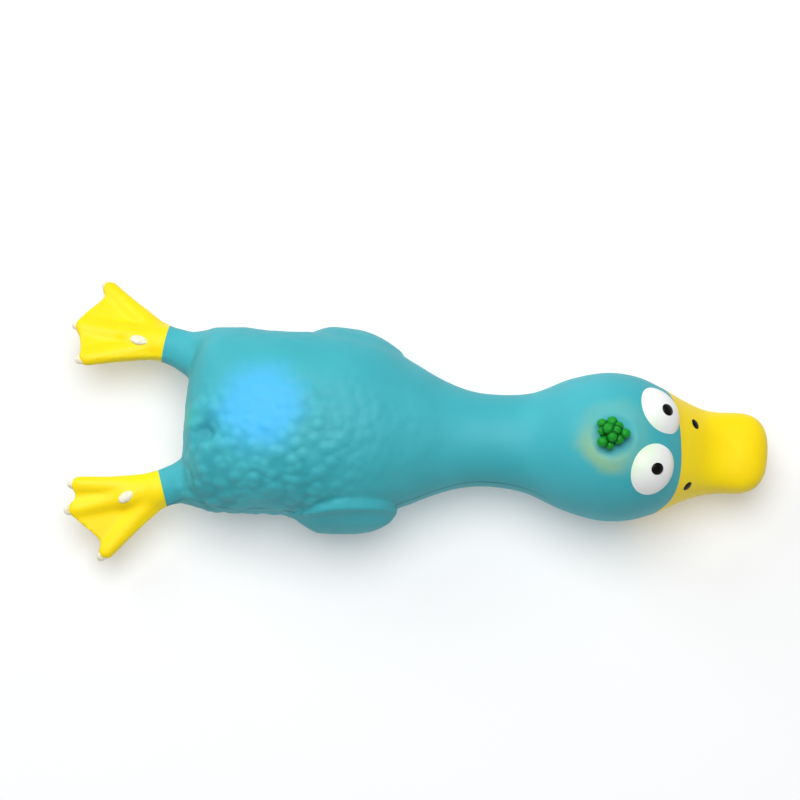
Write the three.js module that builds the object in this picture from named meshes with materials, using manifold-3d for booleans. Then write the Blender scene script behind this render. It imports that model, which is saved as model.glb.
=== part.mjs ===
// Squeaky latex duck, lying on its belly with its neck stretched forward and its legs stretched back.
// Millimetres. +X points to the bill, +Y to the duck's left side and +Z up.
// The origin is on the flat of the belly, under the middle of the breast, in the plane of symmetry.
import * as THREE from "three";
import { mergeVertices } from "three/addons/utils/BufferGeometryUtils.js";
import Module from "manifold-3d";

const wasm = await Module();
wasm.setup();

// ---- Driving dimensions ----

const GAP = 0.3; // between neighbouring pieces
const WALL = 2; // of the hollow latex casting
const RESTING_Z = 0; // the surface that belly and chin lie on

// How finely the casting is faceted: the distance between its cross-sections, and the points in each.
const OUTER_FACETS = { step: 7.5, count: 28 };
const INNER_FACETS = { step: 11, count: 20 };
const END_STEPS = 4; // cross-sections in each rounded end

// The casting's cross-sections from rump to bill: each is a rounded oval of these sizes, with its middle
// y to the left.
const SECTIONS = [
  { x: -59.5, halfWidth: 28.6, bottom: 5.5, top: 41.5, squareness: 2.6, y: 0.3 },
  { x: -46, halfWidth: 30, bottom: 0.2, top: 47, squareness: 2.5, y: 0 },
  { x: -28, halfWidth: 31.3, bottom: -1.8, top: 51, squareness: 2.3, y: -0.3 },
  { x: -8, halfWidth: 31.8, bottom: -1.8, top: 52, squareness: 2.2, y: -0.4 },
  { x: 6, halfWidth: 30.2, bottom: -0.6, top: 49.5, squareness: 2.1, y: -0.6 },
  { x: 18, halfWidth: 24.8, bottom: 1.8, top: 44.5, squareness: 2, y: -0.8 },
  { x: 30, halfWidth: 19.2, bottom: 3.8, top: 39.2, squareness: 2, y: -0.7 },
  { x: 40, halfWidth: 16.4, bottom: 4.8, top: 36.8, squareness: 2, y: -0.5 },
  { x: 50, halfWidth: 16, bottom: 4.9, top: 36.2, squareness: 2, y: -0.4 },
  { x: 60, halfWidth: 17.5, bottom: 3.4, top: 38, squareness: 2, y: -0.5 },
  { x: 72, halfWidth: 22.6, bottom: 0.2, top: 45, squareness: 2, y: -0.5 },
  { x: 84, halfWidth: 25.2, bottom: -1.3, top: 49.5, squareness: 2.1, y: -0.6 },
  { x: 94, halfWidth: 24.4, bottom: -0.9, top: 49.4, squareness: 2.3, y: -0.8 },
  { x: 104, halfWidth: 20.9, bottom: 1.6, top: 44.6, squareness: 2.45, y: -0.7 },
  { x: 112, halfWidth: 17.3, bottom: 4.6, top: 36, squareness: 2.4, y: 0.2 },
  { x: 120, halfWidth: 14.6, bottom: 7, top: 29, squareness: 2.5, y: 1.1 },
  { x: 128, halfWidth: 14, bottom: 8.6, top: 25.6, squareness: 2.7, y: 1.8 },
  { x: 142, halfWidth: 14.8, bottom: 9.8, top: 23.6, squareness: 2.7, y: 2.2 },
];
const RUMP_END = { x: -59.5, length: 12, squareness: 2.6 };
const BILL_END = { x: 142, length: 13, squareness: 2.6 };

// Where the casting bends or changes colour.
const BACK_Z = 40; // the squeezable back is everything on the trunk above this height
const NECK_REAR_X = 38;
const NECK_FRONT_X = 68;
const BILL_BASE = { x: 103.3, z: 25, lean: 0.52, turn: 0.18 }; // a plane that leans forward
const RUMP_FACE_X = -60;

const WING = { front: 15, rear: -22, bottom: 7, top: 38, shoulder: 9, proud: 5.2, reach: 40 };
const TAIL = { x: -55.5, y: -5, z: 37, halfLength: 4, halfWidth: 5.8, halfHeight: 6 };

// The head is turned a little on the neck, which carries the crest, eyes and nostrils round with it.
const HEAD_TURN = THREE.MathUtils.degToRad(3);
const HEAD_AXIS_Z = 24.5;
const CREST = { x: 85.2, height: 25, rootHeight: 3.8, knobRadius: 2, topLift: 3.6 };
const CREST_RING = { radius: 3.9, knobs: 7, lift: 2.2 };
const EYES = { left: { x: 102.8, y: 10.6 }, right: { x: 101.2, y: 9.7 }, radius: 11.5, proud: 2.3 };
const PUPILS = { halfLength: 2.2, halfWidth: 2.4, halfDepth: 1.5, proud: 0.75 };
const GAZE = { left: { forward: 0.5, inward: 1.4 }, right: { forward: -0.5, inward: 0.6 } };
const NOSTRILS = { left: { x: 115.2, y: 9.9 }, right: { x: 113.8, y: 10.4 } };
const NOSTRIL = { halfLength: 1.7, halfWidth: 1.445, halfDepth: 1.2, proud: 0.8 };
const NOSTRIL_TURN = THREE.MathUtils.degToRad(14);

// Legs and webbed feet. Splay and tilt turn each foot on its ankle.
const HIP = { x: -44, y: 18, z: 23, radius: 12 };
const ANKLES = { left: new THREE.Vector3(-68.6, 26.6, 18), right: new THREE.Vector3(-65.5, -24.6, 18) };
const ANKLE = { radius: 5.9, flatness: 0.9 };
const SPLAY = { left: THREE.MathUtils.degToRad(8), right: THREE.MathUtils.degToRad(18) };
const FOOT_TILT = THREE.MathUtils.degToRad(14);
const TOES = {
  left: [
    { name: "inner", angle: THREE.MathUtils.degToRad(-25), length: 30.5 },
    { name: "middle", angle: THREE.MathUtils.degToRad(0), length: 32 },
    { name: "outer", angle: THREE.MathUtils.degToRad(35), length: 31.5 },
  ],
  right: [
    { name: "inner", angle: THREE.MathUtils.degToRad(-16), length: 31 },
    { name: "middle", angle: THREE.MathUtils.degToRad(0), length: 33 },
    { name: "outer", angle: THREE.MathUtils.degToRad(35), length: 31.5 },
  ],
};
const INSTEP_LENGTH = 12;
const TOE = { root: 3, rootRadius: 4.2, tipRadius: 2.8, flatness: 0.8 };
const WEB = { thickness: 3, scallop: 2.2 };
const CLAW = { length: 2.6, radius: 1.4, tipRadius: 0.3 };
const SPUR = { halfLength: 3.1, halfWidth: 1.75, halfHeight: 2 };
const SPUR_PLACES = {
  left: { angle: THREE.MathUtils.degToRad(-16), along: 9.3 },
  right: { angle: THREE.MathUtils.degToRad(0), along: 12.5 },
};

// The squeaker, pushed into a thickened collar in the belly.
const SQUEAKER_X = -28;
const SEAT = { radius: 9.3, flangeRadius: 11.8, flangeDepth: 1.4, collarRadius: 13.5, top: 9 };
const CUP = { radius: 9, flangeRadius: 11.5, face: 0.3, flange: 1, wall: 1.2, top: 11, airHole: 1.5 };
const LID = { radius: 7.5, thickness: 1.5, top: 10.7 };
const REED_BLOCK = { radius: 3.2, bottom: 2, top: 12.6, split: 0.9 };
const REED_CHANNEL = { halfWidth: 1.7, depth: 1.4, floor: 4.4 };
const REED = { width: 2.8, thickness: 0.3, bottom: 2.6, top: 12 };

// ---- Materials ----

const rubber = (color) => new THREE.MeshStandardMaterial({ color, roughness: 0.5, metalness: 0 });
const TEAL = rubber(0x3fb0bd);
const YELLOW = rubber(0xfde12a);
const WHITE = rubber(0xf6f7f4);
const BLACK = rubber(0x1c1d1c);
const GREEN = rubber(0x168a2c);
const PLASTIC = new THREE.MeshStandardMaterial({ color: 0xe9ebe8, roughness: 0.35, metalness: 0 });
const REED_FILM = new THREE.MeshStandardMaterial({ color: 0xc8d2d8, roughness: 0.2, metalness: 0 });

// ---- Between three.js and manifold-3d ----

// A closed three.js geometry as a solid.
function solid(geometry) {
  const bare = geometry.index ? geometry.toNonIndexed() : geometry.clone();
  bare.deleteAttribute("normal");
  bare.deleteAttribute("uv");
  const merged = mergeVertices(bare, 1e-4);
  return new wasm.Manifold(
    new wasm.Mesh({
      numProp: 3,
      vertProperties: merged.attributes.position.array,
      triVerts: new Uint32Array(merged.index.array),
    }),
  );
}

// A solid as a three.js geometry.
function geometryOf(body) {
  const mesh = body.getMesh();
  const geometry = new THREE.BufferGeometry();
  geometry.setAttribute("position", new THREE.BufferAttribute(new Float32Array(mesh.vertProperties), 3));
  geometry.setIndex(new THREE.BufferAttribute(new Uint32Array(mesh.triVerts), 1));
  geometry.computeVertexNormals();
  return geometry;
}

// What is left of a body on the far side of a plane through a point, along a direction.
function beyond(body, point, direction) {
  const normal = direction.clone().normalize();
  return body.trimByPlane(normal.toArray(), normal.dot(point));
}

const X = new THREE.Vector3(1, 0, 0);
const Y = new THREE.Vector3(0, 1, 0);
const Z = new THREE.Vector3(0, 0, 1);
const aheadOf = (body, x) => beyond(body, X.clone().multiplyScalar(x), X);
const behind = (body, x) => beyond(body, X.clone().multiplyScalar(x), X.clone().negate());
const above = (body, z) => beyond(body, Z.clone().multiplyScalar(z), Z);
const below = (body, z) => beyond(body, Z.clone().multiplyScalar(z), Z.clone().negate());
const onSide = (body, side) => beyond(body, new THREE.Vector3(), Y.clone().multiplyScalar(side));

// ---- Shapes ----

// A smooth curve through the sections' values of one key, read at x.
function smooth(key, x) {
  const last = SECTIONS.length - 1;
  const k = THREE.MathUtils.clamp(
    SECTIONS.findLastIndex((s) => s.x <= x),
    0,
    last - 1,
  );
  const slope = (i) => {
    const before = SECTIONS[Math.max(i - 1, 0)];
    const after = SECTIONS[Math.min(i + 1, last)];
    return (after[key] - before[key]) / (after.x - before.x);
  };
  const [a, b] = [SECTIONS[k], SECTIONS[k + 1]];
  const span = b.x - a.x;
  const t = (THREE.MathUtils.clamp(x, a.x, b.x) - a.x) / span;
  return (
    a[key] * (1 + 2 * t) * (1 - t) ** 2 +
    slope(k) * span * t * (1 - t) ** 2 +
    b[key] * t * t * (3 - 2 * t) -
    slope(k + 1) * span * t * t * (1 - t)
  );
}

// How much of a section is left near a rounded end: 1 along the casting and 0 at the end itself.
function endScale(x, end, outward, grow) {
  const into = THREE.MathUtils.clamp((outward * (x - end.x) - grow + end.length) / end.length, 0, 1);
  return (1 - into ** end.squareness) ** (1 / end.squareness);
}

// The closed ring of points around the casting at x, moved outwards by grow.
function ring(x, grow, count) {
  const scale = endScale(x, RUMP_END, -1, grow) * endScale(x, BILL_END, 1, grow);
  const bottom = smooth("bottom", x) - grow;
  const top = smooth("top", x) + grow;
  const power = 2 / smooth("squareness", x);
  return Array.from({ length: count }, (_, i) => {
    const angle = (i / count) * 2 * Math.PI;
    const across = Math.sign(Math.cos(angle)) * Math.abs(Math.cos(angle)) ** power;
    const up = Math.sign(Math.sin(angle)) * Math.abs(Math.sin(angle)) ** power;
    return new THREE.Vector3(
      x,
      smooth("y", x) + (smooth("halfWidth", x) + grow) * scale * across,
      (top + bottom) / 2 + ((top - bottom) / 2) * scale * up,
    );
  });
}

// A closed surface through rings of equally many points, with a point closing each end.
function loft(rings) {
  const count = rings[0].length;
  const middle = (points) => points.reduce((sum, p) => sum.add(p), new THREE.Vector3()).divideScalar(count);
  const points = [...rings.flat(), middle(rings[0]), middle(rings[rings.length - 1])];
  const faces = [];
  for (let r = 0; r < rings.length - 1; r++)
    for (let i = 0; i < count; i++) {
      const [a, b] = [r * count + i, r * count + ((i + 1) % count)];
      faces.push(a, b, a + count, b, b + count, a + count);
    }
  const [first, last] = [points.length - 2, points.length - 1];
  for (let i = 0; i < count; i++) {
    const next = (i + 1) % count;
    faces.push(first, next, i);
    faces.push(last, (rings.length - 1) * count + i, (rings.length - 1) * count + next);
  }
  const geometry = new THREE.BufferGeometry().setFromPoints(points);
  geometry.setIndex(faces);
  return solid(geometry.toNonIndexed());
}

// The casting from rump to bill tip as one full solid, moved outwards by grow.
function casting(grow, { step, count }) {
  const start = RUMP_END.x - grow;
  const end = BILL_END.x + grow;
  const xs = [];
  const firstTurn = 0.06; // of the quarter turn that rounds an end, so that no ring is a single point
  for (let i = 0; i < END_STEPS; i++) {
    const turn = (firstTurn + ((1 - firstTurn) * i) / END_STEPS) * (Math.PI / 2);
    xs.push(start + RUMP_END.length * (1 - Math.cos(turn)));
    xs.push(end - BILL_END.length * (1 - Math.cos(turn)));
  }
  const [from, to] = [start + RUMP_END.length, end - BILL_END.length];
  const steps = Math.round((to - from) / step);
  for (let i = 0; i <= steps; i++) xs.push(from + ((to - from) * i) / steps);
  xs.sort((a, b) => a - b);
  return loft(xs.map((x) => ring(x, grow, count)));
}

function ellipsoid({ x, y, z, rx, ry, rz }, detail = 16) {
  const geometry = new THREE.SphereGeometry(1, detail, detail / 2);
  geometry.scale(rx, ry, rz);
  geometry.translate(x, y, z);
  return solid(geometry);
}

// A round bar from a to b whose radius goes from ra to rb, squeezed in height to flatness.
function taperedBar(a, b, ra, rb, flatness, sides = 20) {
  const along = b.clone().sub(a);
  const geometry = new THREE.CylinderGeometry(rb, ra, along.length(), sides);
  geometry.scale(1, 1, flatness);
  geometry.applyQuaternion(new THREE.Quaternion().setFromUnitVectors(Y, along.clone().normalize()));
  geometry.translate(...a.clone().add(b).multiplyScalar(0.5).toArray());
  return solid(geometry);
}

// A ring or disc turned round an upright axis at x, from its outline of [radius, height] pairs.
function turned(outline, x = 0) {
  const geometry = new THREE.LatheGeometry(
    outline.map(([r, z]) => new THREE.Vector2(r, z)),
    28,
  );
  geometry.rotateX(Math.PI / 2);
  geometry.translate(x, 0, 0);
  return solid(geometry);
}

function tube(innerRadius, outerRadius, bottom, top) {
  return turned([
    [innerRadius, bottom],
    [outerRadius, bottom],
    [outerRadius, top],
    [innerRadius, top],
    [innerRadius, bottom],
  ]);
}

function disc(radius, bottom, top, x) {
  return turned(
    [
      [0, bottom],
      [radius, bottom],
      [radius, top],
      [0, top],
    ],
    x,
  );
}

// ---- The object ----

const duck = new THREE.Group();

function add(name, body, material, parent = duck) {
  const mesh = new THREE.Mesh(geometryOf(body), material);
  mesh.name = name;
  parent.add(mesh);
  return mesh;
}

const outside = casting(0, OUTER_FACETS);
const clearOfCasting = casting(GAP, OUTER_FACETS);
const thickCasting = casting(WING.proud, OUTER_FACETS);
const hollow = above(casting(-WALL, INNER_FACETS), RESTING_Z + WALL);

function makeLeg(name, side) {
  const hip = new THREE.Vector3(HIP.x, HIP.y * side, HIP.z);
  const ankle = ANKLES[name];
  const past = ankle.clone().add(ankle.clone().sub(hip).normalize().multiplyScalar(ANKLE.radius));
  return taperedBar(hip, past, HIP.radius, ANKLE.radius, ANKLE.flatness, 20);
}

const tail = ellipsoid({ ...TAIL, rx: TAIL.halfLength, ry: TAIL.halfWidth, rz: TAIL.halfHeight });
const legs = makeLeg("left", 1).add(makeLeg("right", -1));
const skin = above(outside.add(tail).add(legs).subtract(hollow), RESTING_Z);

function makeTrunk() {
  const collar = disc(SEAT.collarRadius, WALL / 2, SEAT.top, SQUEAKER_X);
  const seat = disc(SEAT.radius, -1, SEAT.top + 1, SQUEAKER_X);
  const flangeSeat = disc(SEAT.flangeRadius, -1, SEAT.flangeDepth, SQUEAKER_X);
  const zone = behind(aheadOf(skin, RUMP_FACE_X + GAP / 2), NECK_REAR_X - GAP / 2);
  const trunk = zone.add(collar).subtract(seat).subtract(flangeSeat);
  add("trunk_skin", below(trunk, BACK_Z - GAP / 2), TEAL);
  add("back_skin", above(zone, BACK_Z + GAP / 2), TEAL);
}

function makeNeckAndHead() {
  const neck = behind(aheadOf(skin, NECK_REAR_X + GAP / 2), NECK_FRONT_X - GAP / 2);
  add("neck_skin", neck, TEAL);
  const front = aheadOf(skin, NECK_FRONT_X + GAP / 2);
  const lean = new THREE.Vector3(1, BILL_BASE.turn, -BILL_BASE.lean);
  const faceAt = (offset) => new THREE.Vector3(BILL_BASE.x + offset, 0, BILL_BASE.z);
  add("head_skin", beyond(front, faceAt(-GAP / 2), lean.clone().negate()), TEAL);
  add("bill", beyond(front, faceAt(GAP / 2), lean), YELLOW);
}

// A leaf-shaped pad raised from the side of the body, round in front and pointed behind.
function makeWing(name, side) {
  const leaf = new THREE.Shape();
  const middle = (WING.top + WING.bottom) / 2;
  leaf.moveTo(WING.rear, middle);
  leaf.quadraticCurveTo(WING.rear + WING.shoulder, WING.bottom, 0, WING.bottom);
  leaf.bezierCurveTo(WING.shoulder, WING.bottom, WING.front, middle - WING.shoulder, WING.front, middle);
  leaf.bezierCurveTo(WING.front, middle + WING.shoulder, WING.shoulder, WING.top, 0, WING.top);
  leaf.quadraticCurveTo(WING.rear + WING.shoulder, WING.top, WING.rear, middle);
  const pad = new THREE.ExtrudeGeometry(leaf, { depth: WING.reach, bevelEnabled: false, curveSegments: 5 });
  pad.rotateX(Math.PI / 2);
  pad.translate(0, side > 0 ? WING.reach : 0, 0);
  add(name, solid(pad).intersect(thickCasting).subtract(clearOfCasting), TEAL);
}

// The point on the casting's surface at x, at an angle round the head's axis from straight up towards +Y,
// and the direction that the surface faces there.
function surfaceAt(x, angle) {
  const at = (station, turn) => {
    const [bottom, top] = [smooth("bottom", station), smooth("top", station)];
    const power = smooth("squareness", station);
    const [w, h] = [smooth("halfWidth", station), (top - bottom) / 2];
    const [across, up] = [Math.abs(Math.sin(turn) / w), Math.abs(Math.cos(turn) / h)];
    const reach = (across ** power + up ** power) ** (-1 / power);
    const y = smooth("y", station) + reach * Math.sin(turn);
    return new THREE.Vector3(station, y, (top + bottom) / 2 + reach * Math.cos(turn));
  };
  const small = 0.01;
  const point = at(x, angle);
  const forward = at(x + small, angle).sub(point);
  const around = at(x, angle + small).sub(point);
  return { point, normal: new THREE.Vector3().crossVectors(around, forward).negate().normalize() };
}

// The angle round the head at which a feature stands sideways by y at x, turned with the head.
function angleAt(x, y, turn) {
  const halfWidth = smooth("halfWidth", x);
  const halfHeight = (smooth("top", x) - smooth("bottom", x)) / 2;
  const up = halfHeight * Math.sqrt(1 - (y / halfWidth) ** 2);
  return Math.atan2(y, up) - turn;
}

function makeEye(name, side) {
  const { x, y } = EYES[name];
  const { point, normal } = surfaceAt(x, angleAt(x, y * side, HEAD_TURN));
  const centre = point.clone().addScaledVector(normal, EYES.proud - EYES.radius);
  const ball = (radius) => ellipsoid({ ...centre, rx: radius, ry: radius, rz: radius }, 28);
  add(`${name}_eye`, ball(EYES.radius).subtract(clearOfCasting), WHITE);

  const forward = X.clone().projectOnPlane(normal).normalize();
  const inward = new THREE.Vector3().crossVectors(forward, normal).multiplyScalar(side);
  const look = normal.clone().multiplyScalar(EYES.radius);
  look.addScaledVector(forward, GAZE[name].forward).addScaledVector(inward, GAZE[name].inward).normalize();
  const spot = new THREE.SphereGeometry(1, 20, 10);
  spot.scale(PUPILS.halfWidth, PUPILS.halfLength, PUPILS.halfDepth);
  spot.applyQuaternion(new THREE.Quaternion().setFromUnitVectors(Z, look));
  const out = EYES.radius + PUPILS.proud - PUPILS.halfDepth;
  spot.translate(...centre.clone().addScaledVector(look, out).toArray());
  add(`${name}_pupil`, solid(spot).subtract(ball(EYES.radius + GAP)), BLACK);
}

function makeNostril(name, side) {
  const { x, y } = NOSTRILS[name];
  const { point, normal } = surfaceAt(x, angleAt(x, y * side, NOSTRIL_TURN));
  const spot = new THREE.SphereGeometry(1, 16, 8);
  spot.scale(NOSTRIL.halfLength, NOSTRIL.halfWidth, NOSTRIL.halfDepth);
  spot.applyQuaternion(new THREE.Quaternion().setFromUnitVectors(Z, normal));
  spot.translate(...point.clone().addScaledVector(normal, NOSTRIL.proud - NOSTRIL.halfDepth).toArray());
  add(`${name}_nostril`, solid(spot).subtract(clearOfCasting), BLACK);
}

// A tuft of round knobs: one in the middle, and a lower ring of them round it.
function makeCrest() {
  const place = new THREE.Matrix4()
    .makeTranslation(CREST.x, smooth("y", CREST.x), HEAD_AXIS_Z)
    .multiply(new THREE.Matrix4().makeRotationX(HEAD_TURN))
    .multiply(new THREE.Matrix4().makeTranslation(0, 0, CREST.height));
  const knob = (out, turn, lift) => {
    const ball = new THREE.SphereGeometry(CREST.knobRadius, 8, 5);
    ball.translate(out * Math.cos(turn), out * Math.sin(turn), lift);
    return solid(ball.applyMatrix4(place));
  };
  const { radius, knobs, lift } = CREST_RING;
  const root = new THREE.CylinderGeometry(radius, radius, CREST.rootHeight, 14).rotateX(Math.PI / 2);
  let tuft = solid(root.applyMatrix4(place)).add(knob(0, 0, CREST.topLift));
  for (let i = 0; i < knobs; i++) tuft = tuft.add(knob(radius, (i / knobs) * 2 * Math.PI, lift));
  add("crest", tuft.subtract(clearOfCasting), GREEN);
}

// A foot in its own frame: the ankle at the origin, toes towards -X, and the outer toe on the outer side.
function makeFoot(name, side) {
  const foot = new THREE.Group();
  foot.position.copy(ANKLES[name]);
  foot.rotation.set(-FOOT_TILT * side, 0, -SPLAY[name] * side, "ZYX");
  duck.add(foot);

  const towards = ({ angle }, distance, z = 0) =>
    new THREE.Vector3(-Math.cos(angle) * distance, Math.sin(angle) * side * distance, z);
  const toes = TOES[name];
  const webbed = webbedFoot(toes, towards, side, 0);
  add(`${name}_foot`, behind(webbed, -GAP / 2), YELLOW, foot);

  for (const toe of toes) {
    const base = towards(toe, toe.length + GAP);
    const point = towards(toe, toe.length + CLAW.length);
    const claw = taperedBar(base, point, CLAW.radius, CLAW.tipRadius, 1, 8);
    add(`${name}_${toe.name}_claw`, claw, WHITE, foot);
  }
  const place = SPUR_PLACES[name];
  const centre = towards(place, place.along, TOE.rootRadius * TOE.flatness + GAP);
  const spur = ellipsoid({ ...centre, rx: SPUR.halfLength, ry: SPUR.halfWidth, rz: SPUR.halfHeight });
  add(`${name}_spur`, above(spur.subtract(webbedFoot(toes, towards, side, GAP)), 0), WHITE, foot);
}

// The ankle, instep, toes and web of a foot as one solid at height z in the foot's frame.
function webbedFoot(toes, towards, side, z) {
  const start = new THREE.Vector3(ANKLE.radius, 0, z);
  const instep = new THREE.Vector3(-INSTEP_LENGTH, 0, z);
  let body = taperedBar(start, instep, ANKLE.radius, TOE.rootRadius, ANKLE.flatness, 20);
  for (const toe of toes) {
    const [root, tip] = [towards(toe, TOE.root, z), towards(toe, toe.length - TOE.tipRadius, z)];
    const end = { ...tip, rx: TOE.tipRadius, ry: TOE.tipRadius, rz: TOE.tipRadius * TOE.flatness };
    body = body.add(taperedBar(root, tip, TOE.rootRadius, TOE.tipRadius, TOE.flatness, 12));
    body = body.add(ellipsoid(end, 12));
  }
  return body.add(makeWeb(toes, towards, side, z));
}

// The web from the ankle to the toes, scalloped between one toe and the next.
function makeWeb(toes, towards, side, z) {
  const outline = new THREE.Shape();
  const tips = toes.map((toe) => towards(toe, toe.length - 1));
  outline.moveTo(0, -ANKLE.radius * side * 0.9);
  outline.lineTo(tips[0].x, tips[0].y);
  for (let i = 1; i < tips.length; i++) {
    const middle = { angle: (toes[i - 1].angle + toes[i].angle) / 2 };
    const dip = towards(middle, toes[i].length - 2 * WEB.scallop);
    outline.quadraticCurveTo(dip.x, dip.y, tips[i].x, tips[i].y);
  }
  outline.lineTo(0, ANKLE.radius * side * 0.9);
  const web = new THREE.ExtrudeGeometry(outline, {
    depth: WEB.thickness,
    bevelEnabled: false,
    curveSegments: 6,
  });
  web.translate(0, 0, z - WEB.thickness / 2);
  return solid(web);
}

function makeLegSkin(name, side) {
  const normal = new THREE.Vector3(Math.cos(SPLAY[name]), -Math.sin(SPLAY[name]) * side, 0);
  const ankle = ANKLES[name].clone().addScaledVector(normal, GAP / 2);
  const stub = onSide(behind(skin, RUMP_FACE_X - GAP / 2), side);
  add(`${name}_leg_skin`, beyond(stub, ankle, normal), TEAL);
}

// The squeaker, in its own frame on the axis of its seat.
function makeSqueaker() {
  const squeaker = new THREE.Group();
  squeaker.position.set(SQUEAKER_X, 0, 0);
  duck.add(squeaker);

  const floor = CUP.face + CUP.wall;
  const cup = tube(CUP.airHole, CUP.flangeRadius, CUP.face, CUP.face + CUP.flange)
    .add(tube(CUP.airHole, CUP.radius, CUP.face, floor))
    .add(tube(CUP.radius - CUP.wall, CUP.radius, floor - 0.1, CUP.top));
  add("squeaker_cup", cup, PLASTIC, squeaker);
  const lidHole = REED_BLOCK.radius + GAP;
  add("squeaker_lid", tube(lidHole, LID.radius, LID.top - LID.thickness, LID.top), PLASTIC, squeaker);

  const block = disc(REED_BLOCK.radius, REED_BLOCK.bottom, REED_BLOCK.top);
  const opening = 2 * REED_CHANNEL.depth + REED_BLOCK.split;
  const channel = new THREE.BoxGeometry(opening, 2 * REED_CHANNEL.halfWidth, REED_BLOCK.top);
  channel.translate(0, 0, REED_CHANNEL.floor + REED_BLOCK.top / 2);
  const halves = block.subtract(solid(channel));
  const clampFace = X.clone().multiplyScalar(REED_BLOCK.split / 2);
  add("reed_holder_front", beyond(halves, clampFace, X), PLASTIC, squeaker);
  add("reed_holder_rear", beyond(halves, clampFace.clone().negate(), X.clone().negate()), PLASTIC, squeaker);

  const reed = new THREE.BoxGeometry(REED.thickness, REED.width, REED.top - REED.bottom);
  reed.translate(0, 0, (REED.top + REED.bottom) / 2);
  add("reed", solid(reed), REED_FILM, squeaker);
}

makeTrunk();
makeNeckAndHead();
makeCrest();
makeSqueaker();
for (const [name, side] of [
  ["left", 1],
  ["right", -1],
]) {
  makeWing(`${name}_wing`, side);
  makeLegSkin(name, side);
  makeFoot(name, side);
  makeEye(name, side);
  makeNostril(name, side);
}

export default duck;
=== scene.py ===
import math

import bmesh
import bpy
import numpy as np
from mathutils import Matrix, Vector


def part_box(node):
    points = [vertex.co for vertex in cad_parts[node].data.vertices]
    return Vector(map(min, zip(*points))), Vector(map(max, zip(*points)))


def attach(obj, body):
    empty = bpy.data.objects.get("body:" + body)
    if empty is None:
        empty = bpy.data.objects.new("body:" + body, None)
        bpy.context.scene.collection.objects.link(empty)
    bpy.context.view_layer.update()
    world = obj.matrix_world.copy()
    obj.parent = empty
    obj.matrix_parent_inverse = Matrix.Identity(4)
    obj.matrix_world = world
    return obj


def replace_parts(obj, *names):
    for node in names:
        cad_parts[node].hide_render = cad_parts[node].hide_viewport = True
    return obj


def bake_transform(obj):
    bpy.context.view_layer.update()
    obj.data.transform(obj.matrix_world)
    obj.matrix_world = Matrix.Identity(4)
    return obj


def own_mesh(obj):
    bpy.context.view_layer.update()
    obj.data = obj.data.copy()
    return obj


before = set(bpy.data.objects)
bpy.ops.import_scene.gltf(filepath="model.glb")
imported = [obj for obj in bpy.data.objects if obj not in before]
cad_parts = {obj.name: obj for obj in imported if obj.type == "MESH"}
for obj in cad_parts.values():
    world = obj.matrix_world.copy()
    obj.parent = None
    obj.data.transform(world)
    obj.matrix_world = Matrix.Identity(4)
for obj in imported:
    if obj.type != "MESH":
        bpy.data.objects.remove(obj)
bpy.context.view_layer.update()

import openvdb
from mathutils import Matrix, Vector

MM = 0.001

# ---------------------------------------------------------------------------------------------------------
# Driving dimensions
# ---------------------------------------------------------------------------------------------------------

WALL = 2.0
FINE = 0.7  # the outer surface's mesh size
COARSE = 1.9  # the inner wall's mesh size
CREST_FINE = 0.24  # the crest's mesh size
CUT_MARGIN = 3  # how far past a cut faces are kept until it is made

# The casting's rounded-oval cross-sections from rump to bill: x, half width, bottom, top, squareness and
# how far the middle stands to the left.
SECTIONS = np.array([
    (-59.5, 28.6, 5.5, 41.5, 2.6, 0.3),
    (-46, 30, 0.2, 47, 2.5, 0),
    (-28, 31.3, -1.8, 51, 2.3, -0.3),
    (-8, 31.8, -1.8, 52, 2.2, -0.4),
    (6, 30.2, -0.6, 49.5, 2.1, -0.6),
    (18, 24.8, 1.8, 44.5, 2, -0.8),
    (30, 19.2, 3.8, 39.2, 2, -0.7),
    (40, 16.4, 4.8, 36.8, 2, -0.5),
    (50, 16, 4.9, 36.2, 2, -0.4),
    (60, 17.5, 3.4, 38, 2, -0.5),
    (72, 22.6, 0.2, 45, 2, -0.5),
    (84, 25.2, -1.3, 49.5, 2.1, -0.6),
    (94, 24.4, -0.9, 49.4, 2.3, -0.8),
    (104, 20.9, 1.6, 44.6, 2.45, -0.7),
    (112, 17.3, 4.6, 36, 2.4, 0.2),
    (120, 14.6, 7, 29, 2.5, 1.1),
    (128, 14, 8.6, 25.6, 2.7, 1.8),
    (142, 14.8, 9.8, 23.6, 2.7, 2.2),
])
RUMP_END = {"x": -59.5, "length": 12, "squareness": 2.6}
BILL_END = {"x": 142, "length": 13, "squareness": 2.6}

NECK_REAR_X, NECK_MIDDLE_X, NECK_FRONT_X = 38, 53, 68  # where the neck's zones are cut: round its rear, at its middle and round its front
NECK_BEND = 10  # the rear cut lies this far behind the rear, the front cut this far ahead of the front
RUMP_FACE_X = -60.5
BACK_Z = 40
BILL_BASE = {"point": (103.3, 0, 25), "lean": 0.52, "turn": 0.18}

# A wing pad is a leaf, widest at one x. It stands out by rim, by crown more in its middle, and by roll more
# along its edge.
WING = {"widest_x": -2, "ahead": 17.5, "behind": 20.5, "middle_z": 22.5, "half_height": 15.8}
WING |= {"rim": 1.9, "crown": 3.3, "roll": 0.5, "fade": 4.5}
TAIL = {"centre": (-54.3, -4.6, 36.6), "radii": (3.6, 6.4, 6.6), "fillet": 3.0}
DENT = {"centre": (-49.8, -9.4), "radius": 3.6, "depth": 3.2}  # the small hollow on the rump beside the tail
CREST_DISH = {"ahead": 0.7, "right": 0.7, "floor": 4.6, "rim": 8.6, "depth": 1.3}
MOUTH = {"x": 128, "z": 15.3, "slope": 0.03, "width": 0.75, "depth": 0.75}

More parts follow.
